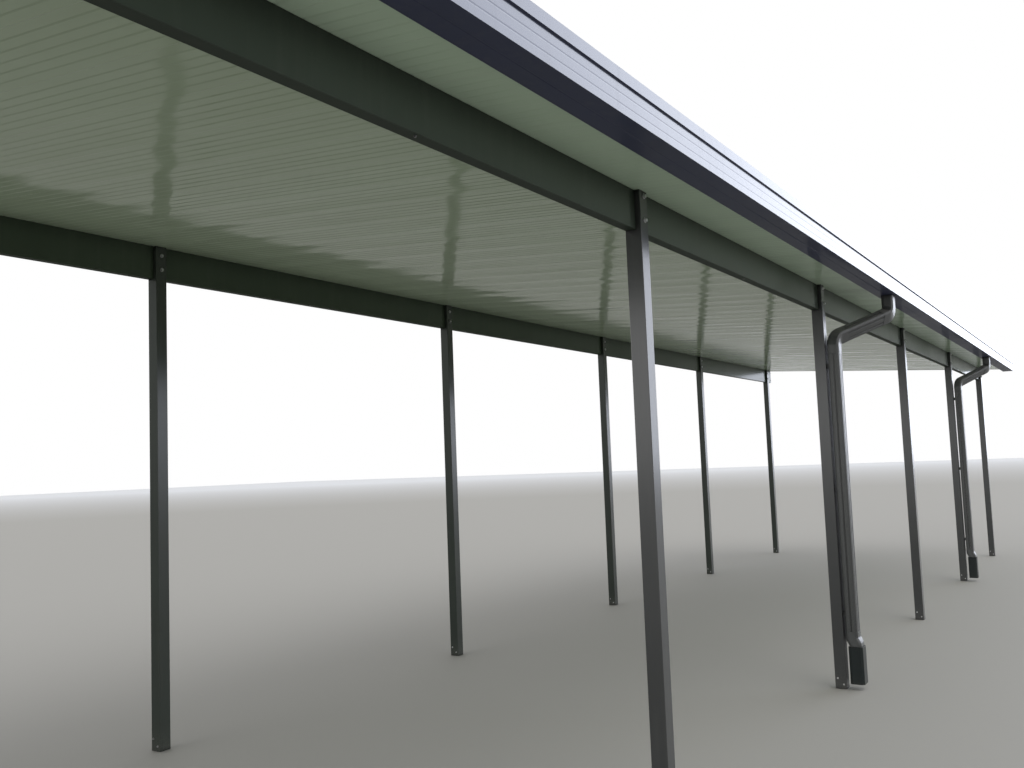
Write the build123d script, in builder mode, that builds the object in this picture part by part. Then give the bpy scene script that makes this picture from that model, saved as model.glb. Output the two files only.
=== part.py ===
from build123d import *
import os
from math import atan, cos, pi, radians, sin, tan

# Lean-to carport of painted aluminium: two rows of notched posts, a hollow
# beam along each row, interlocking roof pans that fall to the low side, a
# box gutter there with two downspouts, and trim round the other edges.
# +X runs along the carport, +Y to its high side, Z up, ground at Z 0.

# Bays and posts
bay = 3048.0
bay_count = 5
post_size = 76.2
post_wall = 3.2
post_corner = 2.0
row_spacing = 3230.0
post_tab = 25.4

# Beams, which lie on the notched posts
beam_width = 50.8
beam_wall = 3.0
beam_corner = 2.0
beam_overhang = 228.6
outer_beam_depth = 177.8
inner_beam_depth = 203.2
outer_beam_top = 2790.0
inner_beam_top = 3032.0
cap_plate = 3.0
cap_plug = 12.0
cap_plug_wall = 2.0

# Post shoes inside the tubes, each with one anchor hole
shoe_plate = 6.0
shoe_wall = 4.0
shoe_height = 90.0
anchor_hole = 13.0

# Roof pans
pan_width = 304.8
pan_sheet = 1.0
pan_height = 63.5
roof_overhang = 304.8
rib_count = 5
rib_width = 10.0
rib_depth = 3.5
hook_width = 4.0
hook_drop = 13.0
pan_in_gutter = 45.0

# Gutter along the low edge
gutter_reach = 412.0
gutter_width = 140.0
gutter_sheet = 1.6
gutter_face = 100.0
gutter_back = 36.0
lip_reach = 8.0
lip_rise = 4.0
lip_height = 42.0
lip_return = 9.0
back_flange = 12.0
face_grooves = (30.0, 66.0)
groove_width = 8.0
groove_depth = 1.0
strap_width = 19.0
strap_sheet = 1.6
strap_foot = 60.0
pans_per_strap = 6

# Channels round the other edges
trim_sheet = 1.5
trim_flange = 38.0
trim_room = 6.0
header_past_post = 63.5

# Downspouts
downspout_posts = (3, 5)
pipe_width = 101.6
pipe_depth = 76.2
pipe_corner = 10.0
corner_folds = 1
pipe_sheet = 1.2
flute_width = 14.0
flute_depth = 3.0
wide_flutes = 2
narrow_flutes = 1
pipe_off_post = 16.0
outlet_along = 500.0
outlet_flange = 15.0
outlet_drop = 45.0
elbow_drop = 136.0
elbow_radius = 70.0
elbow_lap = 40.0
elbow_gores = 4
run_fall = 195.0
pipe_end_height = 350.0
kick_out = 20.0
kick_fall = 45.0
kick_gores = 2
boot_width = 118.0
boot_depth = 94.0
boot_top = 288.0
boot_bottom = 40.0
boot_sheet = 2.0
clip_count = 3
clip_inset = 95.0
clip_width = 50.0
clip_height = 30.0
clip_wall = 2.0

# Clearances
seat = 0.3
slip = 0.3
joint_gap = 0.4

# Worked out from the sizes above
pitch = (inner_beam_top - outer_beam_top) / row_spacing
tilt = atan(pitch)
overall_width = gutter_reach + lip_reach + row_spacing + post_size + header_past_post
outer_y = -overall_width / 2 + gutter_reach + lip_reach
inner_y = outer_y + row_spacing
post_count = bay_count + 1
post_xs = [(i - bay_count / 2) * bay for i in range(post_count)]
pan_total = round((bay * bay_count + 2 * roof_overhang) / pan_width)
roof_half = pan_total * pan_width / 2
overall_half = roof_half + trim_room + trim_sheet


def under_pan(y):
    """Height of the pans' underside above the point y."""
    return outer_beam_top + seat + pitch * (y - outer_y - post_tab)


def across_roof(x, y):
    """Plane square to the pans' run, X along the carport and Y off the roof."""
    return Plane(origin=(x, y, under_pan(y)), x_dir=(1, 0, 0), z_dir=(0, -cos(tilt), -sin(tilt)))


def sheet_outline(points, sheet):
    """Closed outline of a bent sheet that lies to the left of the line through the points."""
    line = [Vector(*point) for point in points]
    ways = [(end - start).normalized() for start, end in zip(line, line[1:])]
    far_line = []
    for point, way_in, way_out in zip(line, [ways[0], *ways], [*ways, ways[-1]]):
        side = (way_in + way_out).normalized().rotate(Axis.Z, 90)
        far_line.append(point + side * (sheet / side.dot(way_in.rotate(Axis.Z, 90))))
    return line + far_line[::-1]


def along_roof(x, y):
    """Plane square to the carport's length, X up the slope and Y off the roof."""
    return Plane(origin=(x, y, under_pan(y)), x_dir=(0, cos(tilt), sin(tilt)), z_dir=(1, 0, 0))


def save(part, name):
    part.label = name
    export_step(part, f"parts/{name}.step")


os.makedirs("parts", exist_ok=True)


# Posts: square tubes whose top is cut back to a tab on the gutter side

def make_post(x, y_face, beam_bottom):
    tab_top = under_pan(y_face) - seat
    notch = post_size - post_tab
    with BuildPart() as post:
        with BuildSketch(Plane.XY):
            with Locations((x, y_face + post_size / 2)):
                Rectangle(post_size, post_size)
                chamfer(vertices(), post_corner)
                Rectangle(post_size - 2 * post_wall, post_size - 2 * post_wall, mode=Mode.SUBTRACT)
        extrude(amount=tab_top)
        with BuildSketch(Plane.XY.offset(beam_bottom)):
            with Locations((x, y_face + post_tab + notch / 2)):
                Rectangle(post_size, notch)
        extrude(amount=tab_top - beam_bottom, mode=Mode.SUBTRACT)
    return post.part


for number, x in enumerate(post_xs, 1):
    save(make_post(x, outer_y, outer_beam_top - outer_beam_depth), f"outer_post_{number}")
    save(make_post(x, inner_y, inner_beam_top - inner_beam_depth), f"inner_post_{number}")


# Shoes: U brackets on the ground inside the posts

def make_shoes(y_face):
    width = post_size - 2 * post_wall - 2 * slip
    y_centre = y_face + post_size / 2
    with BuildPart() as shoes:
        with BuildSketch(Plane.XY):
            with Locations(*[(x, y_centre) for x in post_xs]):
                Rectangle(width, width)
                Circle(anchor_hole / 2, mode=Mode.SUBTRACT)
        extrude(amount=shoe_plate)
        with BuildSketch(Plane.XY.offset(shoe_plate)):
            for side in (-1, 1):
                with Locations(*[(x + side * (width - shoe_wall) / 2, y_centre) for x in post_xs]):
                    Rectangle(shoe_wall, width)
        extrude(amount=shoe_height - shoe_plate)
    return shoes.part


save(make_shoes(outer_y), "outer_post_shoes")
save(make_shoes(inner_y), "inner_post_shoes")


# Beams: hollow boxes in the notches, with a plugged cap at each end

beam_half = bay * bay_count / 2 + beam_overhang


def make_beam(y_face, top, depth):
    centre = (y_face + post_tab + beam_width / 2, top - depth / 2)
    with BuildPart() as beam:
        with BuildSketch(Plane.YZ.offset(-beam_half)):
            with Locations(centre):
                Rectangle(beam_width, depth)
                chamfer(vertices(), beam_corner)
                Rectangle(beam_width - 2 * beam_wall, depth - 2 * beam_wall, mode=Mode.SUBTRACT)
        extrude(amount=2 * beam_half)
    return beam.part


def make_beam_caps(y_face, top, depth):
    centre = (y_face + post_tab + beam_width / 2, top - depth / 2)
    plug_width = beam_width - 2 * beam_wall - 2 * slip
    plug_depth = depth - 2 * beam_wall - 2 * slip
    with BuildPart() as caps:
        for x, outward in ((-beam_half, -1), (beam_half, 1)):
            with BuildSketch(Plane.YZ.offset(x)):
                with Locations(centre):
                    Rectangle(beam_width, depth)
                    chamfer(vertices(), beam_corner)
            extrude(amount=outward * cap_plate)
            with BuildSketch(Plane.YZ.offset(x)):
                with Locations(centre):
                    Rectangle(plug_width, plug_depth)
                    Rectangle(plug_width - 2 * cap_plug_wall, plug_depth - 2 * cap_plug_wall, mode=Mode.SUBTRACT)
            extrude(amount=-outward * cap_plug)
    return caps.part


save(make_beam(outer_y, outer_beam_top, outer_beam_depth), "outer_beam")
save(make_beam(inner_y, inner_beam_top, inner_beam_depth), "inner_beam")
save(make_beam_caps(outer_y, outer_beam_top, outer_beam_depth), "outer_beam_caps")
save(make_beam_caps(inner_y, inner_beam_top, inner_beam_depth), "inner_beam_caps")


# Roof pans: flat sheets with fine ribs, a plain leg on the left and on the
# right a leg whose hook closes over the next pan's plain leg

pan_back = overall_width / 2 - (slip + trim_sheet) * cos(tilt) - (seat + trim_sheet) * sin(tilt)
gutter_y = outer_y - gutter_reach
gutter_back_y = gutter_y + gutter_width
pan_front = gutter_back_y - pan_in_gutter
pan_run = (pan_back - pan_front) / cos(tilt)
rib_pitch = pan_width / (rib_count + 1)


def pan_points():
    left = joint_gap
    right = pan_width - joint_gap
    hook_in = pan_width + joint_gap + pan_sheet + hook_width / 2
    plain_top = pan_height - pan_sheet - 2 * joint_gap
    points = [(left, plain_top), (left, 0)]
    for i in range(1, rib_count + 1):
        middle = i * rib_pitch
        points += [(middle - rib_width / 2, 0), (middle, rib_depth), (middle + rib_width / 2, 0)]
    points += [(right, 0), (right, pan_height - pan_sheet)]
    points += [(hook_in, pan_height - pan_sheet), (hook_in, pan_height - pan_sheet - hook_drop)]
    return points


with BuildSketch() as pan_section:
    with BuildLine():
        Polyline(*sheet_outline(pan_points(), pan_sheet), close=True)
    make_face()

pan_ends = [round(i * pan_total / bay_count) for i in range(bay_count + 1)]
for number in range(1, bay_count + 1):
    with BuildPart() as pans:
        with BuildSketch(across_roof(-roof_half, pan_back)):
            with Locations(*[(i * pan_width, 0) for i in range(pan_ends[number - 1], pan_ends[number])]):
                add(pan_section.sketch)
        extrude(amount=pan_run)
    save(pans.part, f"roof_pans_{number}")


# Sections of the downspouts, whose corners are bent in a few straight folds

def section_points(width, depth, corner, flutes=(0, 0)):
    """Outline of a pipe, with flutes along its wide and its narrow sides."""
    points = []
    for quarter in range(4):
        along, across = ((width, depth), (depth, width))[quarter % 2]
        flat = along / 2 - corner
        count = flutes[quarter % 2]
        folds = [pi / 2 * i / corner_folds for i in range(corner_folds + 1)]
        side = [(flat + corner * cos(fold), across / 2 - corner + corner * sin(fold)) for fold in folds]
        for middle in [flat * (count - 1 - 2 * i) / count for i in range(count)]:
            side += [(middle + flute_width / 2, across / 2), (middle, across / 2 - flute_depth)]
            side += [(middle - flute_width / 2, across / 2)]
        points += [Vector(u, v).rotate(Axis.Z, 90 * quarter) for u, v in side]
    return points


def tube(width, depth, corner, wall, flutes=(0, 0)):
    Polygon(*section_points(width, depth, corner, flutes))
    Polygon(*section_points(width - 2 * wall, depth - 2 * wall, corner - wall, flutes), mode=Mode.SUBTRACT)


# Gutter: a box trough with grooved face, rolled lip and a flange under the pans

gutter_floor = under_pan(gutter_back_y) - seat - gutter_back
gutter_half = overall_half - trim_sheet
lip_top = gutter_face + lip_rise + lip_height


def gutter_points():
    points = [(lip_return - lip_reach, lip_top), (-lip_reach, lip_top), (-lip_reach, gutter_face + lip_rise)]
    points += [(0, gutter_face)]
    for height in sorted(face_grooves, reverse=True):
        points += [(0, height + groove_width / 2), (groove_depth, height), (0, height - groove_width / 2)]
    points += [(0, 0)]
    middle = gutter_width / 2
    points += [(middle - groove_width / 2, 0), (middle, groove_depth), (middle + groove_width / 2, 0)]
    points += [(gutter_width, 0), (gutter_width, gutter_back)]
    points += [(gutter_width - back_flange, gutter_back - back_flange * pitch)]
    return points


def gutter_plane(x):
    return Plane(origin=(x, gutter_y, gutter_floor), x_dir=(0, 1, 0), z_dir=(1, 0, 0))


outlet_y = gutter_y + gutter_width / 2
outlet_xs = [post_xs[post - 1] + outlet_along for post in downspout_posts]

with BuildSketch() as gutter_section:
    with BuildLine():
        Polyline(*sheet_outline(gutter_points(), gutter_sheet), close=True)
    make_face()

with BuildPart() as gutter:
    with BuildSketch(gutter_plane(-gutter_half)):
        add(gutter_section.sketch)
    extrude(amount=2 * gutter_half)
    with BuildSketch(Plane.XY.offset(gutter_floor)):
        with Locations(*[(x, outlet_y) for x in outlet_xs]):
            Polygon(*section_points(pipe_width + 2 * slip, pipe_depth + 2 * slip, pipe_corner + slip))
    extrude(amount=gutter_back / 2, mode=Mode.SUBTRACT)
save(gutter.part, "gutter")

for name, x, outward in (("gutter_cap_near", -gutter_half, -1), ("gutter_cap_far", gutter_half, 1)):
    with BuildPart() as cap:
        with BuildSketch(gutter_plane(x)):
            with BuildLine():
                Polyline(*gutter_points(), close=True)
            make_face()
        extrude(amount=outward * trim_sheet)
    save(cap.part, name)


# Straps that tie the gutter's lip back to the pan seams

strap_xs = [-roof_half + i * pan_width for i in range(pans_per_strap - 1, pan_total, pans_per_strap)]
seam_rise = (pan_height + seat) / cos(tilt)


def over_seam(u):
    """Height in the gutter's frame of the pans' hooks at u."""
    return gutter_back + seat + (u - gutter_width) * pitch + seam_rise


strap_low = lip_top - gutter_sheet - slip - strap_sheet
strap_from = gutter_width - pan_in_gutter
strap_to = gutter_width + strap_foot

strap_points = [(gutter_sheet + slip - lip_reach, strap_low), (lip_return, strap_low)]
strap_points += [(strap_from, over_seam(strap_from)), (strap_to, over_seam(strap_to))]

with BuildSketch() as strap_section:
    with BuildLine():
        Polyline(*sheet_outline(strap_points, strap_sheet), close=True)
    make_face()

with BuildPart() as straps:
    for x in strap_xs:
        with BuildSketch(gutter_plane(x - strap_width / 2)):
            add(strap_section.sketch)
        extrude(amount=strap_width)
save(straps.part, "gutter_straps")


# Header channel over the pans' high ends, and a channel down each side

channel_low = -seat - trim_sheet
channel_rise = pan_height + 2 * seat + 2 * trim_sheet

with BuildPart() as header:
    with BuildSketch(along_roof(-overall_half, pan_back)):
        with Locations((slip + trim_sheet, channel_low)):
            Rectangle(trim_flange, channel_rise, align=(Align.MAX, Align.MIN))
        with Locations((slip, -seat)):
            Rectangle(trim_flange - trim_sheet, channel_rise - 2 * trim_sheet, align=(Align.MAX, Align.MIN),
                      mode=Mode.SUBTRACT)
    extrude(amount=2 * overall_half)
save(header.part, "header_channel")

header_lap = trim_flange - slip - trim_sheet + slip
side_start_y = pan_back - header_lap * cos(tilt)
side_run = pan_run - header_lap - (pan_in_gutter + slip) / cos(tilt)
for name, side in (("side_channel_near", -1), ("side_channel_far", 1)):
    with BuildPart() as channel:
        with BuildSketch(across_roof(0, side_start_y)):
            inward = Align.MIN if side < 0 else Align.MAX
            with Locations((side * overall_half, channel_low)):
                Rectangle(trim_flange, channel_rise, align=(inward, Align.MIN))
            with Locations((side * (overall_half - trim_sheet), -seat)):
                Rectangle(trim_flange - trim_sheet, channel_rise - 2 * trim_sheet, align=(inward, Align.MIN),
                          mode=Mode.SUBTRACT)
        extrude(amount=side_run)
    save(channel.part, name)


# Downspouts: outlet, elbow, sloping run, elbow, fluted pipe, kick-out and boot

sleeve_width = pipe_width + 2 * slip + 2 * pipe_sheet
sleeve_depth = pipe_depth + 2 * slip + 2 * pipe_sheet
sleeve_corner = pipe_corner + slip + pipe_sheet
pipe_y = outer_y - pipe_off_post - sleeve_depth / 2
kick_y = pipe_y - kick_out
flange_rise = gutter_sheet + groove_depth + seat
under_gutter = gutter_floor - seat
run_top = under_gutter - elbow_drop
run_end = run_top - run_fall
elbow_reach = elbow_radius + elbow_lap
kick_top = pipe_end_height + elbow_lap
kick_low = pipe_end_height - kick_fall
down = Vector(0, 0, -1)


def bend_points(corner, way_in, way_out, radius, gores):
    """Points round a bend that is folded from straight gores."""
    angle = radians(way_in.get_angle(way_out))
    side = (way_out - way_in * way_in.dot(way_out)).normalized()
    start = corner - way_in * radius * tan(angle / 2)
    turns = [angle * i / gores for i in range(gores + 1)]
    return [start + side * radius * (1 - cos(turn)) + way_in * radius * sin(turn) for turn in turns]


for number, post in enumerate(downspout_posts, 1):
    x_pipe = post_xs[post - 1]
    x_outlet = x_pipe + outlet_along
    upper_bend = Vector(x_outlet, outlet_y, run_top)
    lower_bend = Vector(x_pipe, pipe_y, run_end)
    run_way = (lower_bend - upper_bend).normalized()
    turn_axis = Axis((0, 0, 0), down.cross(run_way))
    run_across = Vector(1, 0, 0).rotate(turn_axis, down.get_angle(run_way))
    run_plane = Plane(origin=upper_bend + run_way * elbow_radius, x_dir=run_across, z_dir=run_way)
    run_length = (lower_bend - upper_bend).length - 2 * elbow_radius

    with BuildPart() as outlet:
        with BuildSketch(Plane.XY.offset(gutter_floor + flange_rise)):
            with Locations((x_outlet, outlet_y)):
                Rectangle(pipe_width + 2 * outlet_flange, pipe_depth + 2 * outlet_flange)
                Polygon(*section_points(pipe_width - 2 * pipe_sheet, pipe_depth - 2 * pipe_sheet,
                                        pipe_corner - pipe_sheet), mode=Mode.SUBTRACT)
        extrude(amount=pipe_sheet)
        with BuildSketch(Plane.XY.offset(gutter_floor - outlet_drop)):
            with Locations((x_outlet, outlet_y)):
                tube(pipe_width, pipe_depth, pipe_corner, pipe_sheet)
        extrude(amount=outlet_drop + flange_rise)
    save(outlet.part, f"downspout_{number}_outlet")

    with BuildPart() as upper_elbow:
        with BuildLine():
            Polyline((x_outlet, outlet_y, under_gutter),
                     *bend_points(upper_bend, down, run_way, elbow_radius, elbow_gores),
                     upper_bend + run_way * elbow_reach)
        with BuildSketch(Plane.XY.offset(under_gutter)):
            with Locations((x_outlet, outlet_y)):
                tube(sleeve_width, sleeve_depth, sleeve_corner, pipe_sheet)
        sweep(transition=Transition.RIGHT)
    save(upper_elbow.part, f"downspout_{number}_upper_elbow")

    with BuildPart() as run:
        with BuildSketch(run_plane):
            tube(pipe_width, pipe_depth, pipe_corner, pipe_sheet, (wide_flutes, narrow_flutes))
        extrude(amount=run_length)
    save(run.part, f"downspout_{number}_run")

    with BuildPart() as lower_elbow:
        with BuildLine():
            Polyline(lower_bend + down * elbow_reach,
                     *bend_points(lower_bend, down * -1, run_way * -1, elbow_radius, elbow_gores),
                     lower_bend - run_way * elbow_reach)
        with BuildSketch(Plane.XY.offset(run_end - elbow_reach)):
            with Locations((x_pipe, pipe_y)):
                tube(sleeve_width, sleeve_depth, sleeve_corner, pipe_sheet)
        sweep(transition=Transition.RIGHT)
    save(lower_elbow.part, f"downspout_{number}_lower_elbow")

    with BuildPart() as pipe:
        with BuildSketch(Plane.XY.offset(pipe_end_height)):
            with Locations((x_pipe, pipe_y)):
                tube(pipe_width, pipe_depth, pipe_corner, pipe_sheet, (wide_flutes, narrow_flutes))
        extrude(amount=run_end - elbow_radius - pipe_end_height)
    save(pipe.part, f"downspout_{number}_pipe")

    upper_kick = Vector(x_pipe, pipe_y, pipe_end_height - pipe_corner)
    lower_kick = Vector(x_pipe, kick_y, kick_low)
    kick_way = (lower_kick - upper_kick).normalized()
    with BuildPart() as kick:
        with BuildLine():
            Polyline((x_pipe, pipe_y, kick_top),
                     *bend_points(upper_kick, down, kick_way, elbow_radius / 2, kick_gores),
                     *bend_points(lower_kick, kick_way, down, elbow_radius / 2, kick_gores),
                     lower_kick + down * elbow_lap)
        with BuildSketch(Plane.XY.offset(kick_top)):
            with Locations((x_pipe, pipe_y)):
                tube(sleeve_width, sleeve_depth, sleeve_corner, pipe_sheet)
        sweep(transition=Transition.RIGHT)
    save(kick.part, f"downspout_{number}_kickout")

    with BuildPart() as boot:
        with BuildSketch(Plane.XY.offset(boot_bottom)):
            with Locations((x_pipe, kick_y)):
                tube(boot_width, boot_depth, sleeve_corner + boot_sheet, boot_sheet)
        extrude(amount=boot_top - boot_bottom)
        with BuildSketch(Plane.XY.offset(boot_top - boot_sheet)):
            with Locations((x_pipe, kick_y)):
                Polygon(*section_points(boot_width, boot_depth, sleeve_corner + boot_sheet))
                Polygon(*section_points(sleeve_width + 2 * slip, sleeve_depth + 2 * slip, sleeve_corner + slip),
                        mode=Mode.SUBTRACT)
        extrude(amount=boot_sheet)
    save(boot.part, f"downspout_{number}_boot")

# Clips in the gap between each post and its pipe

clip_reach = pipe_y + pipe_depth / 2 + slip
clip_low = kick_top + clip_inset
clip_step = (run_end - elbow_reach - clip_inset - clip_low) / (clip_count - 1)
with BuildPart() as clips:
    for post in downspout_posts:
        for i in range(clip_count):
            with BuildSketch(Plane.XY.offset(clip_low + i * clip_step)):
                with Locations((post_xs[post - 1], (clip_reach + outer_y) / 2)):
                    Rectangle(clip_width, outer_y - clip_reach)
                    Rectangle(clip_width - 2 * clip_wall, outer_y - clip_reach - 2 * clip_wall, mode=Mode.SUBTRACT)
            extrude(amount=clip_height)
save(clips.part, "downspout_clips")
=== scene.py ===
import math

import bpy
from mathutils import Matrix, Vector


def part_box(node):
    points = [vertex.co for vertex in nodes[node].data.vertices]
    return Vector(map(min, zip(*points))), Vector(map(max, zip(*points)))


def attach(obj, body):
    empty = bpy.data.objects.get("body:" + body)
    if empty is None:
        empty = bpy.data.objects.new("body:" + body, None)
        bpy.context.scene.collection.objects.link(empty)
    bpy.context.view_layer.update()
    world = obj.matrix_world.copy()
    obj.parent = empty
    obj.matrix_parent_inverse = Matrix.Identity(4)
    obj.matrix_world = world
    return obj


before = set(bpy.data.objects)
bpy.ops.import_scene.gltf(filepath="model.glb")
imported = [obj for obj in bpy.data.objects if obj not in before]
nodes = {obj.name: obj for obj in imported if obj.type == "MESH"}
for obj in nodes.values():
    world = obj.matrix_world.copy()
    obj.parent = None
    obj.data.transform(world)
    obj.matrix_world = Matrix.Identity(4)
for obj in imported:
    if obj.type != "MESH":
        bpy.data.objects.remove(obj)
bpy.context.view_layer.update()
scene = bpy.context.scene
print("frame loaded:", len(nodes), "nodes")


# small helpers for node trees

def setInputs(tree, node, values):
    for name, value in values.items():
        if isinstance(value, bpy.types.NodeSocket):
            tree.links.new(value, node.inputs[name])
        else:
            node.inputs[name].default_value = value


def addNode(tree, kind, inputs=None, **settings):
    node = tree.nodes.new(kind)
    for name, value in settings.items():
        setattr(node, name, value)
    setInputs(tree, node, inputs or {})
    return node


def calc(tree, operation, first, second=0.0, clamp=False):
    node = addNode(tree, "ShaderNodeMath", {0: first, 1: second}, operation=operation)
    node.use_clamp = clamp
    return node.outputs[0]


def remap(tree, value, low, high, toLow=0.0, toHigh=1.0):
    values = {"Value": value, "From Min": low, "From Max": high, "To Min": toLow, "To Max": toHigh}
    return addNode(tree, "ShaderNodeMapRange", values).outputs["Result"]


def mixColor(tree, factor, first, second, blend="MIX"):
    node = addNode(tree, "ShaderNodeMix", data_type="RGBA", blend_type=blend)
    setInputs(tree, node, {"Factor": factor, 6: first, 7: second})
    return node.outputs[2]


def objectCoords(tree):
    return tree.nodes.new("ShaderNodeTexCoord").outputs["Object"]


def faceNormal(tree):
    return tree.nodes.new("ShaderNodeNewGeometry").outputs["Normal"]


def axisOf(tree, vector, axis):
    return addNode(tree, "ShaderNodeSeparateXYZ", {"Vector": vector}).outputs[axis]


def combine(tree, operation, first, second):
    return addNode(tree, "ShaderNodeVectorMath", {0: first, 1: second}, operation=operation).outputs


def noiseOn(tree, coords, scale, detail=3.0, rough=0.55, stretch=(1, 1, 1)):
    mapping = addNode(tree, "ShaderNodeMapping", {"Vector": coords, "Scale": stretch})
    values = {"Vector": mapping.outputs[0], "Scale": scale, "Detail": detail, "Roughness": rough}
    return addNode(tree, "ShaderNodeTexNoise", values).outputs["Fac"]


def addSockets(face, direction, sockets):
    for name, kind, value in sockets:
        socket = face.new_socket(name, in_out=direction, socket_type="NodeSocket" + kind)
        if value is not None:
            socket.default_value = value


# dust, rain streaks, splashed feet and mottled gloss, shared by every paint, with painted shade on faces
# turned down and in gaps and corners

weatherAndShadeSizes = {
    "broadScale": 1.7, "speckleScale": 95.0, "peelScale": 520.0, "streakScale": 2.2,
    "upward": (0.25, 0.9), "downward": (-0.3, -0.95), "streakEdges": (0.52, 0.75),
    "dustSpeckle": (0.3, 0.7, 0.45, 1.0), "splashSpeckle": (0.38, 0.62, 0.25, 1.0),
    "gapEdges": (0.75, 0.3), "gapSamples": 6, "gapShade": 0.75,
    "undersideWear": 0.6, "broadWear": (0.45, 0.75, 0.0, 0.18),
    "peelHeight": 0.5, "speckleHeight": 0.25,
}


def makeWeatherAndShadeGroup():
    sizes = weatherAndShadeSizes
    group = bpy.data.node_groups.new("weatheredPaintAndShade", "ShaderNodeTree")
    addSockets(group.interface, "INPUT", (
        ("Paint", "Color", (0.03, 0.03, 0.03, 1)),
        ("Dust Color", "Color", (0.3, 0.28, 0.24, 1)),
        ("Mottle", "Float", 0.3),
        ("Dust On Top", "Float", 0.5),
        ("Streaks", "Float", 0.2),
        ("Streak Stretch", "Vector", (9.0, 9.0, 0.6)),
        ("Splash Height", "Float", 0.3),
        ("Splash", "Float", 0.5),
        ("Rough Low", "Float", 0.2),
        ("Rough High", "Float", 0.6),
        ("Underside Shade", "Float", 0.0),
        ("Underside Dull", "Float", 0.0),
        ("Painted Gap Shade", "Float", 0.6),
        ("Gap Reach", "Float", 0.03),
    ))
    addSockets(group.interface, "OUTPUT", (
        ("Color", "Color", None), ("Roughness", "Float", None),
        ("Gloss Mask", "Float", None), ("Height", "Float", None),
    ))
    source = group.nodes.new("NodeGroupInput").outputs
    target = group.nodes.new("NodeGroupOutput").inputs
    coords = objectCoords(group)
    tilt = axisOf(group, faceNormal(group), "Z")
    upward = remap(group, tilt, *sizes["upward"])
    downward = remap(group, tilt, *sizes["downward"])

    broad = noiseOn(group, coords, sizes["broadScale"], 4.0, 0.6)
    speckle = noiseOn(group, coords, sizes["speckleScale"], 3.0, 0.65)
    peel = noiseOn(group, coords, sizes["peelScale"], 1.0, 0.5)
    stretched = combine(group, "MULTIPLY", coords, source["Streak Stretch"])[0]
    streak = noiseOn(group, stretched, sizes["streakScale"], 4.0, 0.6)
    streak = remap(group, streak, *sizes["streakEdges"])

    onTop = calc(group, "MULTIPLY", upward, source["Dust On Top"])
    onTop = calc(group, "MULTIPLY", onTop, remap(group, speckle, *sizes["dustSpeckle"]))
    fade = calc(group, "DIVIDE", axisOf(group, coords, "Z"), source["Splash Height"])
    fade = remap(group, fade, 0.0, 1.0, 1.0, 0.0)
    splash = calc(group, "MULTIPLY", calc(group, "MULTIPLY", fade, fade), source["Splash"])
    splash = calc(group, "MULTIPLY", splash, remap(group, speckle, *sizes["splashSpeckle"]))
    streaks = calc(group, "MULTIPLY", streak, source["Streaks"])
    dust = calc(group, "ADD", calc(group, "ADD", onTop, splash), streaks, clamp=True)

    mottle = calc(group, "MULTIPLY", calc(group, "SUBTRACT", broad, 0.5), source["Mottle"])
    shade = calc(group, "ADD", mottle, 1.0)
    # faces turned down are darkened: painted shade
    shade = calc(group, "SUBTRACT", shade, calc(group, "MULTIPLY", downward, source["Underside Shade"]))
    # gaps and corners within the reach are darkened as painted shade and lose some gloss
    openness = addNode(group, "ShaderNodeAmbientOcclusion", {"Distance": source["Gap Reach"]},
                       samples=sizes["gapSamples"]).outputs["AO"]
    paintedGapShade = calc(group, "MULTIPLY", remap(group, openness, *sizes["gapEdges"]), source["Painted Gap Shade"])
    gapShadeFactor = calc(group, "SUBTRACT", 1.0, calc(group, "MULTIPLY", paintedGapShade, sizes["gapShade"]))
    shade = calc(group, "MULTIPLY", shade, gapShadeFactor)
    grey = addNode(group, "ShaderNodeCombineColor", {"Red": shade, "Green": shade, "Blue": shade}).outputs[0]
    varied = mixColor(group, 1.0, source["Paint"], grey, "MULTIPLY")
    group.links.new(mixColor(group, dust, varied, source["Dust Color"]), target["Color"])

    dull = calc(group, "MULTIPLY", downward, source["Underside Dull"])
    wear = calc(group, "MULTIPLY", dull, sizes["undersideWear"])
    wear = calc(group, "ADD", calc(group, "ADD", dust, paintedGapShade), wear)
    wear = calc(group, "ADD", wear, remap(group, broad, *sizes["broadWear"]), clamp=True)
    rough = remap(group, wear, 0.0, 1.0, source["Rough Low"], source["Rough High"])
    group.links.new(rough, target["Roughness"])
    gloss = calc(group, "SUBTRACT", calc(group, "SUBTRACT", 1.0, dull), dust, clamp=True)
    gloss = calc(group, "MULTIPLY", gloss, calc(group, "SUBTRACT", 1.0, paintedGapShade, clamp=True))
    group.links.new(gloss, target["Gloss Mask"])
    height = calc(group, "ADD", calc(group, "MULTIPLY", peel, sizes["peelHeight"]),
                  calc(group, "MULTIPLY", speckle, sizes["speckleHeight"]))
    group.links.new(height, target["Height"])
    return group


# slow buckling of thin sheet, with a bow across each pan and a finer one between its ribs

buckleSizes = {"fieldsPerPan": 6.0, "unevenScale": 3.0, "unevenStretch": (1.0, 0.3, 1.0),
               "unevenRange": (0.3, 0.7, 0.1, 1.9)}


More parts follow.
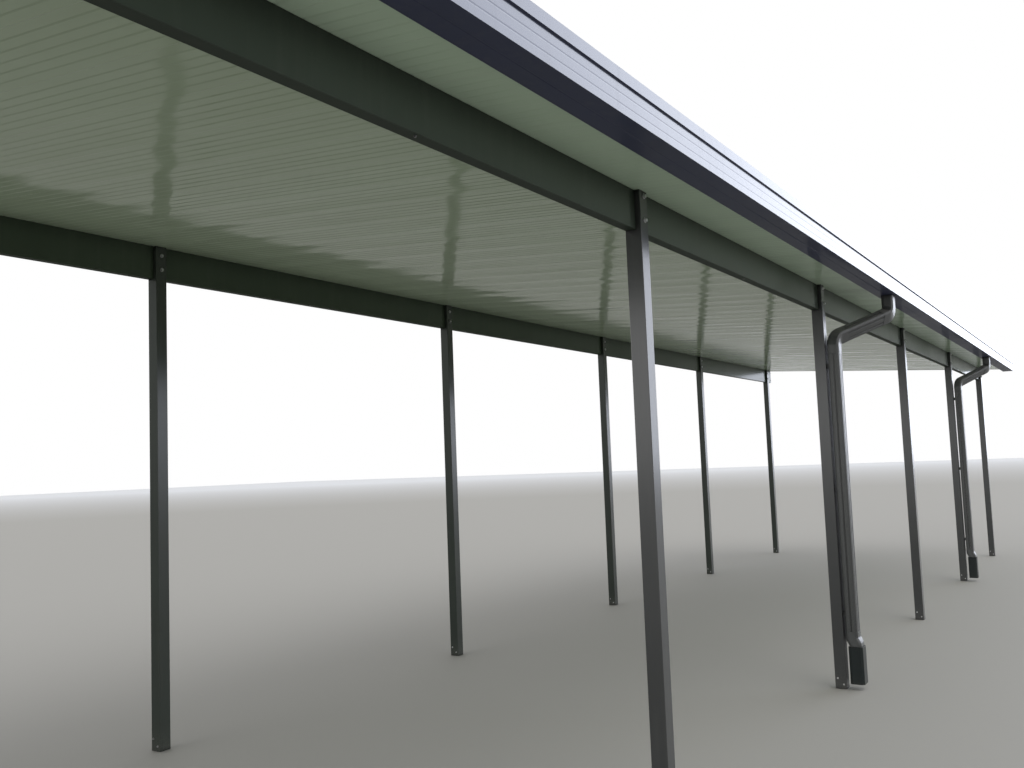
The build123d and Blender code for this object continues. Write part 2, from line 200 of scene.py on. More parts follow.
def makeBuckleGroup():
    sizes = buckleSizes
    group = bpy.data.node_groups.new("buckledSheet", "ShaderNodeTree")
    addSockets(group.interface, "INPUT", (
        ("Stretch", "Vector", (1.0, 1.0, 1.0)),
        ("Buckle Depth", "Float", 0.001),
        ("Pan Start", "Float", 0.0),
        ("Pan Width", "Float", 0.3),
        ("Pan Bow", "Float", 0.0),
        ("Rib Bow", "Float", 0.0),
    ))
    addSockets(group.interface, "OUTPUT", (("Height", "Float", None),))
    source = group.nodes.new("NodeGroupInput").outputs
    target = group.nodes.new("NodeGroupOutput").inputs
    coords = objectCoords(group)
    stretched = combine(group, "MULTIPLY", coords, source["Stretch"])[0]
    slow = noiseOn(group, stretched, 1.0, 2.0, 0.5)
    along = calc(group, "SUBTRACT", axisOf(group, coords, "X"), source["Pan Start"])
    turn = calc(group, "MULTIPLY", calc(group, "DIVIDE", along, source["Pan Width"]), 2 * math.pi)
    wide = calc(group, "MULTIPLY", calc(group, "COSINE", turn), source["Pan Bow"])
    fine = calc(group, "COSINE", calc(group, "MULTIPLY", turn, sizes["fieldsPerPan"]))
    fine = calc(group, "MULTIPLY", fine, source["Rib Bow"])
    uneven = noiseOn(group, coords, sizes["unevenScale"], 1.0, 0.5, sizes["unevenStretch"])
    uneven = remap(group, uneven, *sizes["unevenRange"])
    bow = calc(group, "MULTIPLY", calc(group, "ADD", wide, fine), uneven)
    height = calc(group, "ADD", calc(group, "MULTIPLY", slow, source["Buckle Depth"]), bow)
    group.links.new(height, target["Height"])
    return group


weatherAndShadeGroup = makeWeatherAndShadeGroup()
buckleGroup = makeBuckleGroup()


def makeFinish(name, weatherAndShade, gloss, buckle=None):
    material = bpy.data.materials.new(name)
    material.use_nodes = True
    tree = material.node_tree
    shader = tree.nodes["Principled BSDF"]
    wornAndShaded = addNode(tree, "ShaderNodeGroup", node_tree=weatherAndShadeGroup)
    setInputs(tree, wornAndShaded, weatherAndShade)
    shader.inputs["Metallic"].default_value = gloss.get("metallic", 0.0)
    shader.inputs["Specular IOR Level"].default_value = gloss["specular"]
    shader.inputs["Coat Roughness"].default_value = gloss.get("coatRoughness", 0.1)
    shader.inputs["Coat IOR"].default_value = gloss.get("coatIor", 1.5)
    tree.links.new(wornAndShaded.outputs["Color"], shader.inputs["Base Color"])
    tree.links.new(wornAndShaded.outputs["Roughness"], shader.inputs["Roughness"])
    if "coat" in gloss:
        coat = calc(tree, "MULTIPLY", wornAndShaded.outputs["Gloss Mask"], gloss["coat"])
        tree.links.new(coat, shader.inputs["Coat Weight"])
    if "ior" in gloss:
        shader.inputs["IOR"].default_value = gloss["ior"]
    height = calc(tree, "MULTIPLY", wornAndShaded.outputs["Height"], gloss["peel"])
    if buckle:
        bent = addNode(tree, "ShaderNodeGroup", node_tree=buckleGroup)
        setInputs(tree, bent, buckle)
        height = calc(tree, "ADD", height, bent.outputs[0])
    bump = addNode(tree, "ShaderNodeBump", {"Height": height, "Strength": 1.0, "Distance": 1.0})
    if "round" in gloss:
        # folds read as soft bends
        soft = addNode(tree, "ShaderNodeBevel", {"Radius": gloss["round"]}, samples=6)
        tree.links.new(soft.outputs[0], bump.inputs["Normal"])
    tree.links.new(bump.outputs[0], shader.inputs["Normal"])
    return material


# measures read from the frame, and the sheet sizes that a box doesn't tell

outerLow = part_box("outer_post_1")[0]
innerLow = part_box("inner_post_1")[0]
outerBeamLow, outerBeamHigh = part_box("outer_beam")
innerBeamLow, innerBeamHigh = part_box("inner_beam")
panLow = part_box("roof_pans_1")[0]
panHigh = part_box("roof_pans_5")[1]
gutterLow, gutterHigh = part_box("gutter")
headerLow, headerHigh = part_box("header_channel")
postXs = []
for number in range(1, 7):
    low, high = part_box(f"outer_post_{number}")
    postXs.append((low.x + high.x) / 2)
slope = (innerBeamHigh.z - outerBeamHigh.z) / (innerLow.y - outerLow.y)
seat = 0.0003
halfPost = 0.0381
halfBeam = 0.0254
panWidth = 0.3048
panSheet = 0.001
panCount = round((panHigh.x - panLow.x) / panWidth)
panStart = panLow.x - 0.0004
seamRise = 0.0635
lipReach = 0.008
down, up, outward = (0, 0, -1), (0, 0, 1), (0, -1, 0)
roofUp = Vector((0, -slope, 1)).normalized()


def underPan(y):
    return outerBeamHigh.z + seat + slope * (y - outerBeamLow.y)


# finishes

# the bronze settings carry painted shade on faces turned down and in gaps
bronzeWeatherAndShade = {
    "Paint": (0.040, 0.042, 0.042, 1),
    "Dust Color": (0.20, 0.19, 0.165, 1),
    "Mottle": 0.45,
    "Dust On Top": 0.45,
    "Streaks": 0.05,
    "Splash Height": 0.20,
    "Splash": 0.28,
    "Rough Low": 0.30,
    "Rough High": 0.72,
    "Underside Shade": 0.5,
    "Underside Dull": 1.0,
    "Painted Gap Shade": 1.0,
    "Gap Reach": 0.045,
}
bronzePaint = makeFinish(
    "bronzePaint", bronzeWeatherAndShade,
    {"specular": 0.12, "coat": 1.0, "coatRoughness": 0.19, "coatIor": 1.52, "peel": 0.00004},
    {"Stretch": (2.5, 2.5, 0.7), "Buckle Depth": 0.0012})
shadedPostPaint = makeFinish(
    "shadedPostPaint",
    dict(bronzeWeatherAndShade, **{"Paint": (0.040, 0.048, 0.040, 1)}),
    {"specular": 0.08, "coat": 1.0, "coatRoughness": 0.19, "coatIor": 1.5, "peel": 0.00004},
    {"Stretch": (2.5, 2.5, 0.7), "Buckle Depth": 0.0012})
downspoutPaint = makeFinish(
    "downspoutPaint", dict(bronzeWeatherAndShade, **{"Paint": (0.058, 0.062, 0.060, 1)}),
    {"specular": 0.12, "coat": 1.0, "coatRoughness": 0.32, "coatIor": 1.52, "peel": 0.00004, "round": 0.03})
# the outer beam's paint is tinted green: painted bounce light; its long gap reach spreads painted shade over
# its top under the pans
beamPaintGreenBounce = makeFinish(
    "beamPaintGreenBounce",
    dict(bronzeWeatherAndShade, **{"Paint": (0.058, 0.074, 0.058, 1), "Underside Shade": 0.3, "Rough High": 0.8,
                           "Gap Reach": 0.22}),
    {"specular": 0.08, "coat": 0.8, "coatRoughness": 0.12, "coatIor": 1.45, "peel": 0.00004},
    {"Stretch": (0.7, 2.0, 2.5), "Buckle Depth": 0.0012})
shadedBeamPaint = makeFinish(
    "shadedBeamPaint",
    dict(bronzeWeatherAndShade, **{"Paint": (0.050, 0.070, 0.046, 1), "Underside Shade": 0.3, "Rough High": 0.8,
                           "Painted Gap Shade": 0.7, "Gap Reach": 0.15}),
    {"specular": 0.08, "coat": 0.65, "coatRoughness": 0.16, "coatIor": 1.45, "peel": 0.00004},
    {"Stretch": (0.7, 2.0, 2.5), "Buckle Depth": 0.0012})
# the gutter's paint is tinted blue: a painted reflection of a bluish sky
gutterPaintSkyTinted = makeFinish(
    "gutterPaintSkyTinted",
    dict(bronzeWeatherAndShade, **{"Paint": (0.040, 0.049, 0.102, 1), "Streaks": 0.10,
                           "Streak Stretch": (7.0, 7.0, 0.5), "Rough Low": 0.22,
                           "Underside Shade": 0.3, "Underside Dull": 0.88}),
    {"specular": 0.15, "coat": 1.0, "coatRoughness": 0.06, "coatIor": 1.75, "peel": 0.00003},
    {"Stretch": (0.8, 2.0, 4.0), "Buckle Depth": 0.0008})
bootIron = makeFinish(
    "bootIron",
    dict(bronzeWeatherAndShade, **{"Paint": (0.013, 0.018, 0.018, 1), "Splash Height": 0.12, "Splash": 0.2}),
    {"specular": 0.1, "coat": 0.45, "coatRoughness": 0.2, "peel": 0.00012, "round": 0.012})
enamelWeather = {
    "Paint": (0.70, 0.71, 0.68, 1),
    "Dust Color": (0.33, 0.31, 0.26, 1),
    "Mottle": 0.10,
    "Dust On Top": 0.55,
    "Streaks": 0.05,
    "Streak Stretch": (11.0, 0.35, 3.0),
    "Splash": 0.0,
    "Rough Low": 0.09,
    "Rough High": 0.45,
    "Painted Gap Shade": 0.0,
}
whiteEnamel = makeFinish(
    "whiteEnamel", enamelWeather,
    {"specular": 0.2, "ior": 1.25, "peel": 0.00001},
    {"Stretch": (3.3, 1.3, 1.0), "Buckle Depth": 0.0055, "Pan Start": panStart, "Pan Width": panWidth,
     "Pan Bow": 0.00055, "Rib Bow": 0.00002})
millAluminium = makeFinish(
    "millAluminium",
    {"Paint": (0.60, 0.61, 0.62, 1), "Dust Color": (0.36, 0.34, 0.30, 1), "Mottle": 0.35, "Dust On Top": 0.30,
     "Streaks": 0.12, "Splash": 0.2, "Rough Low": 0.32, "Rough High": 0.6},
    {"metallic": 0.9, "specular": 0.5, "peel": 0.00004})
zincPlate = makeFinish(
    "zincPlate",
    {"Paint": (0.52, 0.53, 0.53, 1), "Dust Color": (0.22, 0.18, 0.14, 1), "Mottle": 0.6, "Dust On Top": 0.25,
     "Streaks": 0.25, "Splash": 0.2, "Rough Low": 0.28, "Rough High": 0.6},
    {"metallic": 0.85, "specular": 0.5, "peel": 0.00003})
paintedHead = makeFinish(
    "paintedHead",
    dict(bronzeWeatherAndShade, **{"Paint": (0.055, 0.058, 0.053, 1), "Underside Shade": 0.0, "Underside Dull": 0.0}),
    {"specular": 0.4, "coat": 0.7, "coatRoughness": 0.15, "peel": 0.00003})
greySealant = makeFinish(
    "greySealant",
    {"Paint": (0.34, 0.34, 0.32, 1), "Dust Color": (0.24, 0.22, 0.19, 1), "Mottle": 0.4, "Dust On Top": 0.4,
     "Streaks": 0.1, "Splash": 0.1, "Rough Low": 0.45, "Rough High": 0.8},
    {"specular": 0.4, "peel": 0.0001})
rubberWasher = makeFinish(
    "rubberWasher",
    {"Paint": (0.03, 0.03, 0.03, 1), "Dust Color": (0.2, 0.19, 0.17, 1), "Mottle": 0.4, "Dust On Top": 0.5,
     "Streaks": 0.0, "Splash": 0.0, "Rough Low": 0.6, "Rough High": 0.9},
    {"specular": 0.3, "peel": 0.00005})


# faces turned down on the enamel carry painted shade: a grey-green tone for shade and green bounce light,
# darker in uneven patches past the outer beam and lighter under the overhang

undersideShadeSizes = {"overhangShadeColor": (0.50, 0.625, 0.475, 1), "innerShadeColor": (0.362, 0.44, 0.315, 1),
             "start": outerBeamLow.y, "reach": 0.35, "facesBelow": (-0.1, -0.4),
             "patchScale": 2.0, "patchStretch": (1.0, 0.4, 1.0), "patchRange": (0.3, 0.7, 0.85, 1.0)}


def paintUndersideShade(material, sizes):
    tree = material.node_tree
    wornAndShaded = next(node for node in tree.nodes if node.type == "GROUP" and node.node_tree == weatherAndShadeGroup)
    coords = objectCoords(tree)
    inside = remap(tree, axisOf(tree, coords, "Y"), sizes["start"], sizes["start"] + sizes["reach"])
    patches = noiseOn(tree, coords, sizes["patchScale"], 3.0, 0.6, sizes["patchStretch"])
    patches = remap(tree, patches, *sizes["patchRange"])
    shadedInside = calc(tree, "MULTIPLY", inside, patches)
    shadeColor = mixColor(tree, shadedInside, sizes["overhangShadeColor"], sizes["innerShadeColor"])
    paint = tuple(wornAndShaded.inputs["Paint"].default_value)
    # the painted shade goes only on faces turned down
    below = remap(tree, axisOf(tree, faceNormal(tree), "Z"), *sizes["facesBelow"])
    tree.links.new(mixColor(tree, below, paint, shadeColor), wornAndShaded.inputs["Paint"])


# ribs and grooves are rolled soft, so their flanks lean less in the shading than in the folded sheet

ribSizes = {"way": tuple(-roofUp), "soften": 3.2, "flat": 0.70, "steep": 0.45}
grooveSizes = {"way": outward, "soften": 1.2, "flat": 0.95, "steep": 0.90,
               "flank": 0.970, "near": 0.008, "far": 0.014, "gloss": 0.78}


def softenFolds(material, sizes):
    tree = material.node_tree
    bump = next(node for node in tree.nodes if node.type == "BUMP")
    normal = faceNormal(tree)
    facing = combine(tree, "DOT_PRODUCT", normal, sizes["way"])["Value"]
    amount = remap(tree, facing, sizes["steep"], sizes["flat"], 0.0, sizes["soften"])
    straight = addNode(tree, "ShaderNodeVectorMath", {0: sizes["way"], "Scale": amount}, operation="SCALE")
    leaning = combine(tree, "ADD", normal, straight.outputs[0])[0]
    soft = addNode(tree, "ShaderNodeVectorMath", {0: leaning}, operation="NORMALIZE")
    tree.links.new(soft.outputs[0], bump.inputs["Normal"])


def keepGloss(material, kept):
    tree = material.node_tree
    coat = tree.nodes["Principled BSDF"].inputs["Coat Weight"]
    tree.links.new(calc(tree, "MULTIPLY", coat.links[0].from_socket, kept), coat)


# dirt in the grooves takes some gloss off their flanks

def dullGrooves(material, sizes):
    tree = material.node_tree
    facing = combine(tree, "DOT_PRODUCT", faceNormal(tree), sizes["way"])["Value"]
    away = calc(tree, "ABSOLUTE", calc(tree, "SUBTRACT", facing, sizes["flank"]))
    keepGloss(material, remap(tree, away, sizes["near"], sizes["far"], sizes["gloss"], 1.0))


# the row by the high side is washed less by rain, so only its faces to the gutter side keep their gloss

shelterSizes = {"gloss": 0.15, "edge": -0.3, "open": -0.8}


def dullSheltered(material, sizes):
    tree = material.node_tree
    facing = axisOf(tree, faceNormal(tree), "Y")
    keepGloss(material, remap(tree, facing, sizes["edge"], sizes["open"], sizes["gloss"], 1.0))


paintUndersideShade(whiteEnamel, undersideShadeSizes)
softenFolds(whiteEnamel, ribSizes)
softenFolds(gutterPaintSkyTinted, grooveSizes)
dullGrooves(gutterPaintSkyTinted, grooveSizes)
dullSheltered(shadedPostPaint, shelterSizes)
print("finishes made")


# CAD nodes keep their shape and take the finishes

for name, piece in nodes.items():
    if name.startswith("roof_pans"):
        finish = whiteEnamel
    elif name.endswith("_shoes") or name == "gutter_straps":
        finish = millAluminium
    elif name.startswith("gutter"):
        finish = gutterPaintSkyTinted
    elif name.endswith("_boot"):
        finish = bootIron
    elif name.startswith("downspout"):
        finish = downspoutPaint
    elif name.startswith("outer_beam"):
        finish = beamPaintGreenBounce
    elif name.startswith("inner_beam"):
        finish = shadedBeamPaint
    elif name.startswith("inner_post"):
        finish = shadedPostPaint
    else:
        finish = bronzePaint
    for place in piece.material_slots:
        place.material = finish
    if not piece.material_slots:
        piece.data.materials.append(finish)
print("CAD nodes dressed")


# screws, bolts and rivets, spread by Geometry Nodes over a mesh of points

fullTurn = 6.283
spinSeed, wobbleSeed = 7, 11


def makeFastenerTree():
    tree = bpy.data.node_groups.new("fastenerHeads", "GeometryNodeTree")
    addSockets(tree.interface, "INPUT", (
        ("Geometry", "Geometry", None),
        ("Head Radius", "Float", 0.005),
        ("Head Height", "Float", 0.004),
        ("Head Sides", "Int", 6),
        ("Head Taper", "Float", 0.88),
        ("Washer Radius", "Float", 0.007),
        ("Washer Height", "Float", 0.001),
        ("Washer Sides", "Int", 14),
        ("Finish", "Material", None),
    ))
    addSockets(tree.interface, "OUTPUT", (("Geometry", "Geometry", None),))
    source = tree.nodes.new("NodeGroupInput").outputs
    target = tree.nodes.new("NodeGroupOutput").inputs
    topRadius = calc(tree, "MULTIPLY", source["Head Radius"], source["Head Taper"])
    head = addNode(tree, "GeometryNodeMeshCone", {
        "Vertices": source["Head Sides"], "Radius Top": topRadius,
        "Radius Bottom": source["Head Radius"], "Depth": source["Head Height"]})
    washer = addNode(tree, "GeometryNodeMeshCone", {
        "Vertices": source["Washer Sides"], "Radius Top": source["Washer Radius"],
        "Radius Bottom": source["Washer Radius"], "Depth": source["Washer Height"]})
    lift = addNode(tree, "ShaderNodeCombineXYZ", {"Z": source["Washer Height"]})
    lifted = addNode(tree, "GeometryNodeTransform",
                     {"Geometry": head.outputs["Mesh"], "Translation": lift.outputs[0]})
    joined = tree.nodes.new("GeometryNodeJoinGeometry")
    tree.links.new(washer.outputs["Mesh"], joined.inputs[0])
    tree.links.new(lifted.outputs[0], joined.inputs[0])
    facing = addNode(tree, "GeometryNodeInputNamedAttribute", {"Name": "facing"}, data_type="FLOAT_VECTOR")
    facing = facing.outputs["Attribute"]
    align = addNode(tree, "FunctionNodeAlignRotationToVector", {"Vector": facing}, axis="Z")
    spin = addNode(tree, "FunctionNodeRandomValue", {2: 0.0, 3: fullTurn, "Seed": spinSeed},
                   data_type="FLOAT")
    turn = addNode(tree, "FunctionNodeAxisAngleToRotation", {"Axis": facing, "Angle": spin.outputs[1]})
    turned = addNode(tree, "FunctionNodeRotateRotation",
                     {"Rotation": align.outputs[0], "Rotate By": turn.outputs[0]}, rotation_space="GLOBAL")
    spread = addNode(tree, "GeometryNodeInstanceOnPoints", {
        "Points": source["Geometry"], "Instance": joined.outputs[0], "Rotation": turned.outputs[0]})
    real = addNode(tree, "GeometryNodeRealizeInstances", {"Geometry": spread.outputs[0]})
    coated = addNode(tree, "GeometryNodeSetMaterial",
                     {"Geometry": real.outputs[0], "Material": source["Finish"]})
    tree.links.new(coated.outputs[0], target["Geometry"])
    return tree


# beads of sealant along lines

def makeBeadTree():
    tree = bpy.data.node_groups.new("sealantBead", "GeometryNodeTree")
    addSockets(tree.interface, "INPUT", (
        ("Geometry", "Geometry", None),
        ("Bead Radius", "Float", 0.002),
        ("Bead Sides", "Int", 8),
        ("Unevenness", "Float", 0.25),
        ("Step Length", "Float", 0.01),
        ("Finish", "Material", None),
    ))
    addSockets(tree.interface, "OUTPUT", (("Geometry", "Geometry", None),))
    source = tree.nodes.new("NodeGroupInput").outputs
    target = tree.nodes.new("NodeGroupOutput").inputs
    line = addNode(tree, "GeometryNodeMeshToCurve", {"Mesh": source["Geometry"]})
    steps = addNode(tree, "GeometryNodeResampleCurve", {"Curve": line.outputs[0]}, mode="LENGTH")
    tree.links.new(source["Step Length"], steps.inputs["Length"])
    thin = calc(tree, "SUBTRACT", 1.0, source["Unevenness"])
    wobble = addNode(tree, "FunctionNodeRandomValue", {2: thin, 3: 1.0, "Seed": wobbleSeed},
                     data_type="FLOAT")
    thick = addNode(tree, "GeometryNodeSetCurveRadius",
                    {"Curve": steps.outputs[0], "Radius": wobble.outputs[1]})
    ring = addNode(tree, "GeometryNodeCurvePrimitiveCircle",
                   {"Resolution": source["Bead Sides"], "Radius": source["Bead Radius"]})
    tube = addNode(tree, "GeometryNodeCurveToMesh",
                   {"Curve": thick.outputs[0], "Profile Curve": ring.outputs[0], "Fill Caps": True})
    if "Scale" in tube.inputs:
        tree.links.new(tree.nodes.new("GeometryNodeInputRadius").outputs[0], tube.inputs["Scale"])
    real = addNode(tree, "GeometryNodeRealizeInstances", {"Geometry": tube.outputs[0]})
    coated = addNode(tree, "GeometryNodeSetMaterial",
                     {"Geometry": real.outputs[0], "Material": source["Finish"]})
    tree.links.new(coated.outputs[0], target["Geometry"])
    return tree


fastenerTree = makeFastenerTree()
beadTree = makeBeadTree()


def runTree(tree, name, mesh, values):
    start = bpy.data.objects.new(name + "_start", mesh)
    scene.collection.objects.link(start)
    modifier = start.modifiers.new("make", "NODES")
    modifier.node_group = tree
    for item in tree.interface.items_tree:
        if item.item_type == "SOCKET" and item.in_out == "INPUT" and item.name in values:
            modifier[item.identifier] = values[item.name]
    scene.view_layers[0].update()
    made = bpy.data.meshes.new_from_object(start.evaluated_get(bpy.context.evaluated_depsgraph_get()))
    start.modifiers.remove(modifier)
    bpy.data.objects.remove(start)
    made.name = name
    piece = bpy.data.objects.new(name, made)
    scene.collection.objects.link(piece)
    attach(piece, "root")
    print(name, len(made.polygons), "faces")


def addFasteners(name, spots, sizes, finish):
    sides = sizes.get("sides", 6)
    mesh = bpy.data.meshes.new(name)
    mesh.from_pydata([place for place, way in spots], [], [])
    facing = mesh.attributes.new("facing", "FLOAT_VECTOR", "POINT")
    for item, (place, way) in zip(facing.data, spots):
        item.vector = way
    values = {
        "Head Radius": sizes["across"] / 2 / math.cos(math.pi / sides),
        "Head Height": sizes["height"],
        "Head Sides": sides,
        "Head Taper": sizes.get("taper", 0.9),
        "Washer Radius": sizes["washer"] / 2,
        "Washer Height": sizes["washerHeight"],
        "Washer Sides": sizes.get("washerSides", 14),
        "Finish": finish,
    }
    runTree(fastenerTree, name, mesh, values)


def addBeads(name, lines, radius, closed=True):
    corners, edges = [], []
    for line in lines:
        first, count = len(corners), len(line)
        corners += line
        edges += [(first + i, first + (i + 1) % count) for i in range(count if closed else count - 1)]
    mesh = bpy.data.meshes.new(name)
    mesh.from_pydata(corners, edges, [])
    runTree(beadTree, name, mesh, {"Bead Radius": radius, "Finish": greySealant})


# bolts through the post tabs into the beams

tabBolts = {"across": 0.017, "height": 0.0085, "washer": 0.024, "washerHeight": 0.0022, "washerSides": 24,
            "taper": 0.86, "outerHeights": (0.045, 0.153), "innerHeights": (0.057, 0.145),
            "outerShift": 0.006, "innerShift": 0.002}
boltSpots = []
for x in postXs:
    for rise in tabBolts["outerHeights"]:
        boltSpots.append(((x + tabBolts["outerShift"], outerLow.y, outerBeamLow.z + rise), outward))
    for rise in tabBolts["innerHeights"]:
        boltSpots.append(((x + tabBolts["innerShift"], innerLow.y, innerBeamLow.z + rise), outward))
addFasteners("tab_bolts", boltSpots, tabBolts, zincPlate)


# screws that hold the posts to their shoes

shoeScrews = {"across": 0.008, "height": 0.005, "washer": 0.0125, "washerHeight": 0.0012,
              "heights": (0.030, 0.070), "offset": 0.019}
shoeSpots = []
for low in (outerLow, innerLow):
    for x in postXs:
        for side in (-1, 1):
            for rise, shift in zip(shoeScrews["heights"], (-shoeScrews["offset"], shoeScrews["offset"])):
                shoeSpots.append(((x + side * halfPost, low.y + halfPost + shift, rise), (side, 0, 0)))
addFasteners("shoe_screws", shoeSpots, shoeScrews, zincPlate)


# screws down through the pans into the two beams and the gutter's flange, each with a rubber ring

roofScrews = {"across": 0.008, "height": 0.0052, "washer": 0.0145, "washerHeight": 0.0014,
              "alongPan": (0.0762, 0.2286), "inFromFlange": 0.006, "ringHeight": 0.002}
roofSpots, ringSpots = [], []
for y in (gutterHigh.y - roofScrews["inFromFlange"], outerBeamLow.y + halfBeam, innerBeamLow.y + halfBeam):
    for i in range(panCount):
        for along in roofScrews["alongPan"]:
            spot = Vector((panStart + i * panWidth + along, y, underPan(y))) + roofUp * panSheet
            ringSpots.append((spot, roofUp))
            roofSpots.append((spot + roofUp * roofScrews["ringHeight"], roofUp))
addFasteners("roof_screws", roofSpots, roofScrews, zincPlate)
ringSizes = {"across": 0.009, "height": 0.0008, "sides": 10, "washer": 0.0125,
             "washerHeight": roofScrews["ringHeight"], "washerSides": 10}
addFasteners("roof_screw_rings", ringSpots, ringSizes, rubberWasher)


# one screw a bay up into the outer beam's underside

beamScrews = {"across": 0.008, "height": 0.005, "washer": 0.0125, "washerHeight": 0.0012,
              "pastPost": 1.452, "inFromFace": 0.0157}
beamSpots = []
for x in postXs[:-1]:
    spot = (x + beamScrews["pastPost"], outerBeamLow.y + beamScrews["inFromFace"], outerBeamLow.z)
    beamSpots.append((spot, down))
addFasteners("beam_screws", beamSpots, beamScrews, paintedHead)


# screws through the beams' ends into their caps

capScrews = {"across": 0.008, "height": 0.005, "washer": 0.0125, "washerHeight": 0.0012,
             "inFromEnd": 0.006, "inFromEdge": 0.04}
capSpots = []
for low, high in ((outerBeamLow, outerBeamHigh), (innerBeamLow, innerBeamHigh)):
    for x in (low.x + capScrews["inFromEnd"], high.x - capScrews["inFromEnd"]):
        for z in (low.z + capScrews["inFromEdge"], high.z - capScrews["inFromEdge"]):
            capSpots.append(((x, low.y, z), outward))
addFasteners("cap_screws", capSpots, capScrews, paintedHead)


# rivets that hold each strap to the gutter's lip and to the pan seam behind it

strapRivets = {"across": 0.0065, "height": 0.0016, "sides": 10, "taper": 0.6,
               "washer": 0.0085, "washerHeight": 0.0006, "washerSides": 12,
               "everyPans": 6, "inFromLip": 0.0045, "pastGutter": (0.004, 0.048), "sheet": 0.0016}
strapSpots = []
for i in range(strapRivets["everyPans"] - 1, panCount, strapRivets["everyPans"]):
    x = panStart + i * panWidth
    strapSpots.append(((x, gutterLow.y + strapRivets["inFromLip"], gutterHigh.z), up))
    for past in strapRivets["pastGutter"]:
        y = gutterHigh.y + past
        seamTop = Vector((x, y, underPan(y))) + roofUp * (seamRise + strapRivets["sheet"])
        strapSpots.append((seamTop, roofUp))
addFasteners("strap_rivets", strapSpots, strapRivets, millAluminium)


# rivets down through the channels round the roof

trimRivets = {"across": 0.007, "height": 0.0007, "sides": 10, "taper": 0.6,
              "washer": 0.009, "washerHeight": 0.0004, "washerSides": 12,
              "inFromEdge": 0.022, "firstAlong": 0.08, "keptAtEnds": 0.1, "sideStep": 0.45,
              "sheet": 0.0015}


def overTrim(x, y):
    return Vector((x, y, underPan(y))) + roofUp * (seamRise + 2 * seat + trimRivets["sheet"])


trimSpots = []
for i in range(1, panCount):
    trimSpots.append((overTrim(panStart + i * panWidth, headerHigh.y - trimRivets["inFromEdge"]), roofUp))
for name, x in (("side_channel_near", headerLow.x), ("side_channel_far", headerHigh.x)):
    low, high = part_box(name)
    inward = trimRivets["inFromEdge"] if x < 0 else -trimRivets["inFromEdge"]
    for step in range(int((high.y - low.y - trimRivets["keptAtEnds"]) / trimRivets["sideStep"]) + 1):
        y = low.y + trimRivets["firstAlong"] + step * trimRivets["sideStep"]
        trimSpots.append((overTrim(x + inward, y), roofUp))
addFasteners("trim_rivets", trimSpots, trimRivets, paintedHead)


# rivets at the downspouts' laps, on the side away from the post and on both narrow sides, where each
# sleeve stands proud of the pipe by its wall and clearance

lapRivets = {"across": 0.0065, "height": 0.0016, "sides": 10, "taper": 0.6,
             "washer": 0.0085, "washerHeight": 0.0006, "washerSides": 12,
             "inFromEnd": 0.015, "proud": 0.0015, "apart": 0.028, "sideShift": 0.012}
lapSpots = []
for i in (1, 2):
    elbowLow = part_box(f"downspout_{i}_lower_elbow")[0]
    pipeLow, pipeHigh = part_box(f"downspout_{i}_pipe")
    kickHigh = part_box(f"downspout_{i}_kickout")[1]
    middle = (pipeLow + pipeHigh) / 2
    for z in (elbowLow.z + lapRivets["inFromEnd"], kickHigh.z - lapRivets["inFromEnd"]):
        for side in (-1, 1):
            x = middle.x + side * lapRivets["apart"]
            lapSpots.append(((x, pipeLow.y - lapRivets["proud"], z), outward))
            edge = middle.x + side * (pipeHigh.x - middle.x + lapRivets["proud"])
            lapSpots.append(((edge, middle.y - lapRivets["sideShift"], z), (side, 0, 0)))
addFasteners("lap_rivets", lapSpots, lapRivets, paintedHead)


# sealant round the outlets and inside the gutter's ends

sealant = {"radius": 0.0028, "sunk": 0.0006, "inset": 0.0016, "offFloor": 0.0034, "offFace": 0.0052,
           "faceHeight": 0.094, "backHeight": 0.028}
outletLines = []
for i in (1, 2):
    low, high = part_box(f"downspout_{i}_outlet")
    z = high.z - sealant["sunk"]
    outletLines.append([(low.x, low.y, z), (high.x, low.y, z), (high.x, high.y, z), (low.x, high.y, z)])
addBeads("outlet_sealant", outletLines, sealant["radius"])
endLines = []
for x, inward in ((gutterLow.x, 1), (gutterHigh.x, -1)):
    near = x + inward * sealant["inset"]
    floor = gutterLow.z + sealant["offFloor"]
    face = gutterLow.y + lipReach + sealant["offFace"]
    back = gutterHigh.y - sealant["offFloor"]
    endLines.append([(near, face, floor + sealant["faceHeight"]), (near, face, floor),
                     (near, back, floor), (near, back, floor + sealant["backHeight"])])
addBeads("gutter_end_sealant", endLines, sealant["radius"], closed=False)
print("fasteners and sealant made")


# floor, light and camera

floorSizes = {"reach": 140.0, "drop": 0.002, "color": (0.42, 0.405, 0.365, 1),
              "farColor": (0.80, 0.80, 0.79, 1), "fade": (40.0, 120.0), "rough": 0.75, "specular": 0.2}
lightSizes = {
    "fill": 0.62,
    "fillColor": (0.92, 0.94, 1.0, 1),
    "lamps": (
        {"name": "gutterSideLight", "azimuth": -109, "height": 47, "energy": 0.8, "spread": 55,
         "color": (1.0, 1.0, 1.0)},
        {"name": "lowFarLight", "azimuth": -28, "height": 16, "energy": 1.3, "spread": 60,
         "color": (0.77, 0.84, 1.0)},
        {"name": "nearEndLight", "azimuth": 168, "height": 8, "energy": 0.65, "spread": 50,
         "color": (1.0, 1.0, 1.0)},
    ),
}
cameraSizes = {"place": (-8.4852, -3.1837, 1.6016), "yaw": 31.811, "pitch": 4.776, "roll": -2.200,
               "focalPixels": 974.91, "widthPixels": 1024, "sensor": 36.0, "clip": (0.05, 400.0)}


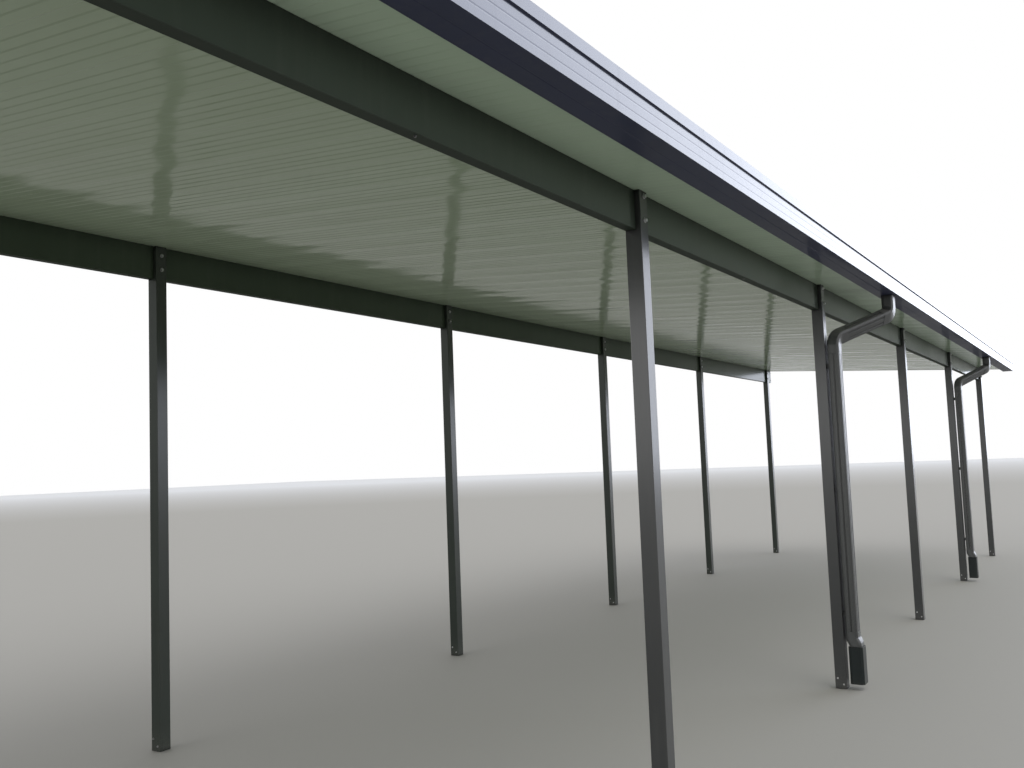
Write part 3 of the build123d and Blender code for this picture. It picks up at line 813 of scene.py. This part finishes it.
def makeFloor():
    reach = floorSizes["reach"]
    mesh = bpy.data.meshes.new("studio_floor")
    z = -floorSizes["drop"]
    corners = [(x * reach, y * reach, z) for x, y in ((-1, -1), (1, -1), (1, 1), (-1, 1))]
    mesh.from_pydata(corners, [], [(0, 1, 2, 3)])
    floor = bpy.data.objects.new("studio_floor", mesh)
    scene.collection.objects.link(floor)
    material = bpy.data.materials.new("paleFloor")
    material.use_nodes = True
    tree = material.node_tree
    shader = tree.nodes["Principled BSDF"]
    distance = addNode(tree, "ShaderNodeVectorMath", {0: objectCoords(tree)}, operation="LENGTH")
    far = remap(tree, distance.outputs["Value"], *floorSizes["fade"])
    shown = mixColor(tree, far, floorSizes["color"], floorSizes["farColor"])
    tree.links.new(shown, shader.inputs["Base Color"])
    shader.inputs["Roughness"].default_value = floorSizes["rough"]
    shader.inputs["Specular IOR Level"].default_value = floorSizes["specular"]
    mesh.materials.append(material)


def makeWorld():
    world = bpy.data.worlds.new("studioWorld")
    scene.world = world
    world.use_nodes = True
    tree = world.node_tree
    background = tree.nodes["Background"]
    path = tree.nodes.new("ShaderNodeLightPath").outputs
    seen = calc(tree, "ADD", path["Is Camera Ray"], path["Is Glossy Ray"])
    seen = calc(tree, "ADD", seen, path["Is Transmission Ray"], clamp=True)
    tree.links.new(remap(tree, seen, 0.0, 1.0, lightSizes["fill"], 1.0), background.inputs["Strength"])
    tint = mixColor(tree, seen, lightSizes["fillColor"], (1.0, 1.0, 1.0, 1))
    tree.links.new(tint, background.inputs["Color"])


def makeLamps():
    for sizes in lightSizes["lamps"]:
        lamp = bpy.data.lights.new(sizes["name"], "SUN")
        lamp.energy = sizes["energy"]
        lamp.angle = math.radians(sizes["spread"])
        lamp.color = sizes["color"]
        azimuth, height = math.radians(sizes["azimuth"]), math.radians(sizes["height"])
        level = math.cos(height)
        toLamp = Vector((level * math.cos(azimuth), level * math.sin(azimuth), math.sin(height)))
        holder = bpy.data.objects.new(sizes["name"], lamp)
        holder.rotation_euler = toLamp.to_track_quat("Z", "Y").to_euler()
        scene.collection.objects.link(holder)


def makeCamera():
    yaw, pitch, roll = (math.radians(cameraSizes[name]) for name in ("yaw", "pitch", "roll"))
    forward = Vector((math.cos(pitch) * math.cos(yaw), math.cos(pitch) * math.sin(yaw), math.sin(pitch)))
    level = Vector((math.sin(yaw), -math.cos(yaw), 0))
    upright = level.cross(forward)
    right = level * math.cos(roll) + upright * math.sin(roll)
    top = upright * math.cos(roll) - level * math.sin(roll)
    camera = bpy.data.cameras.new("photoCamera")
    camera.sensor_fit = "HORIZONTAL"
    camera.sensor_width = cameraSizes["sensor"]
    camera.lens = cameraSizes["sensor"] * cameraSizes["focalPixels"] / cameraSizes["widthPixels"]
    camera.clip_start, camera.clip_end = cameraSizes["clip"]
    holder = bpy.data.objects.new("photoCamera", camera)
    turn = Matrix((right, top, -forward)).transposed().to_4x4()
    holder.matrix_world = Matrix.Translation(cameraSizes["place"]) @ turn
    scene.collection.objects.link(holder)
    scene.camera = holder


makeFloor()
makeWorld()
makeLamps()
makeCamera()
scene.view_settings.view_transform = "Standard"
print("stage, light and camera made")
